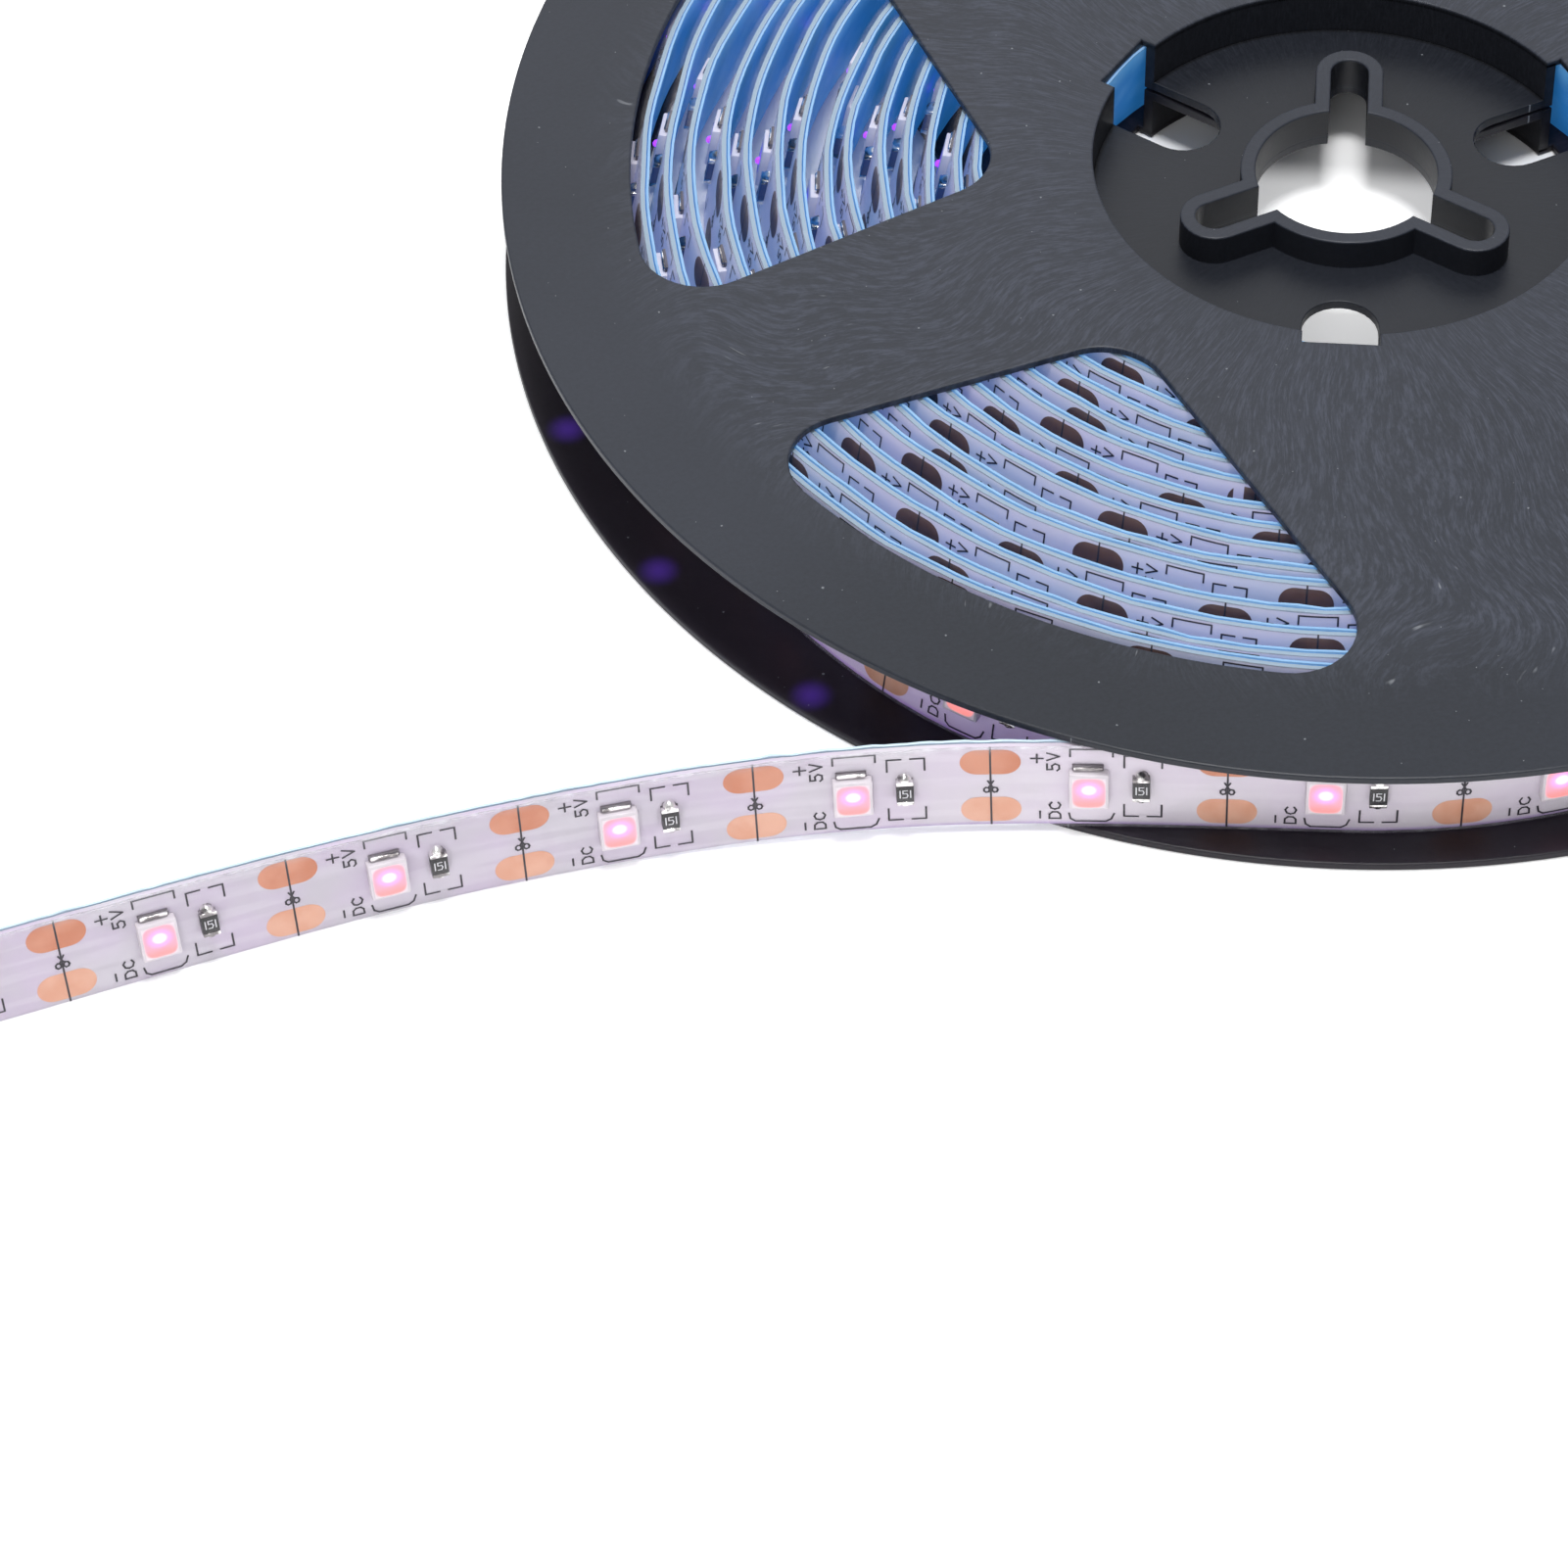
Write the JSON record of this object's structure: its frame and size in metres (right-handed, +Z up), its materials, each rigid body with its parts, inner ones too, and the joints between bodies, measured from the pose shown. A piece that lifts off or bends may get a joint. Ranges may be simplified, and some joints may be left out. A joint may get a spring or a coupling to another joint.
{
  "type": "led grow light strip",
  "caption": "Flexible LED grow light strip in a clear silicone coat, wound on a black flanged plastic reel, with its lit free end led off the rim and lying on edge beside it",
  "frame": {"origin": "on the surface that the reel lies on, at the centre of the whole part's plan box; the reel's axis stands at x = 34.3 mm, y = 0", "axes": "+Z up along the reel's axis, +X from the strip's free end towards the reel and along the reel's two narrow spokes, +Y at right angles to both, along its two wide spokes"},
  "size_m": [0.197, 0.1284, 0.0095],
  "materials": {
    "black_plastic": "injection moulded, satin, with fine flow streaks on the spokes",
    "coated_white_board": "white printed flexible board under a clear soft silicone coat",
    "blue_release_liner": "light blue waxed film",
    "lit_white_lamp": "white package with a pink glowing face",
    "black_ceramic": "black glazed body with tinned ends"
  },
  "bodies": {
    "root": {"upper_reel_half": "black_plastic", "lower_reel_half": "black_plastic", "led_strip": "coated_white_board", "release_liner": "blue_release_liner", "lamp_1": "lit_white_lamp", "lamp_2": "lit_white_lamp", "lamp_3": "lit_white_lamp", "lamp_4": "lit_white_lamp", "lamp_5": "lit_white_lamp", "lamp_6": "lit_white_lamp", "lamp_7": "lit_white_lamp", "lamp_8": "lit_white_lamp", "resistor_1": "black_ceramic", "resistor_2": "black_ceramic", "resistor_3": "black_ceramic", "resistor_4": "black_ceramic", "resistor_5": "black_ceramic", "resistor_6": "black_ceramic", "resistor_7": "black_ceramic", "resistor_8": "black_ceramic"}
  },
  "joints": []
}
